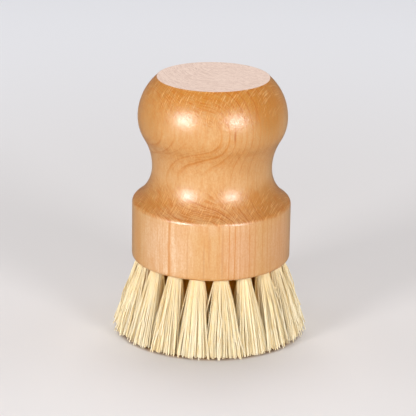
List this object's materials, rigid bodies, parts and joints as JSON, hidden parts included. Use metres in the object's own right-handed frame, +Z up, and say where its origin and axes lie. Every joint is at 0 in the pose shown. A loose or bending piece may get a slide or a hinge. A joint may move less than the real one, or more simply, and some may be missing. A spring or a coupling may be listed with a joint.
{
  "type": "dish brush",
  "caption": "Palm dish brush: a waisted, turned wooden knob handle over a round block set with leaning tufts of stiff plant fibre.",
  "frame": {"origin": "in the plane that the bristle tips stand in, on the handle's turning axis", "axes": "+Z up along the handle's turning axis, from the bristle tips to the crown; -Y is the side that faces a viewer"},
  "size_m": [0.0648, 0.0646, 0.0908],
  "materials": {
    "beech": "turned beech under a clear satin varnish, the flat crown left bare",
    "fibre": "natural, undyed plant fibre, cut level",
    "wire": "flat drawn wire, tinned"
  },
  "bodies": {
    "root": {"handle": "beech", "tuft_centre": "fibre", "tuft_inner_01": "fibre", "tuft_inner_02": "fibre", "tuft_inner_03": "fibre", "tuft_inner_04": "fibre", "tuft_inner_05": "fibre", "tuft_inner_06": "fibre", "tuft_middle_01": "fibre", "tuft_middle_02": "fibre", "tuft_middle_03": "fibre", "tuft_middle_04": "fibre", "tuft_middle_05": "fibre", "tuft_middle_06": "fibre", "tuft_middle_07": "fibre", "tuft_middle_08": "fibre", "tuft_middle_09": "fibre", "tuft_middle_10": "fibre", "tuft_middle_11": "fibre", "tuft_middle_12": "fibre", "tuft_outer_01": "fibre", "tuft_outer_02": "fibre", "tuft_outer_03": "fibre", "tuft_outer_04": "fibre", "tuft_outer_05": "fibre", "tuft_outer_06": "fibre", "tuft_outer_07": "fibre", "tuft_outer_08": "fibre", "tuft_outer_09": "fibre", "tuft_outer_10": "fibre", "tuft_outer_11": "fibre", "tuft_outer_12": "fibre", "tuft_outer_13": "fibre", "tuft_outer_14": "fibre", "tuft_outer_15": "fibre", "tuft_outer_16": "fibre", "tuft_outer_17": "fibre", "tuft_outer_18": "fibre", "anchor_outer_01": "wire", "anchor_outer_02": "wire", "anchor_outer_03": "wire", "anchor_outer_04": "wire", "anchor_outer_05": "wire", "anchor_outer_06": "wire", "anchor_outer_07": "wire", "anchor_outer_08": "wire", "anchor_outer_09": "wire", "anchor_outer_10": "wire", "anchor_outer_11": "wire", "anchor_outer_12": "wire", "anchor_outer_13": "wire", "anchor_outer_14": "wire", "anchor_outer_15": "wire", "anchor_outer_16": "wire", "anchor_outer_17": "wire", "anchor_outer_18": "wire"}
  },
  "joints": []
}
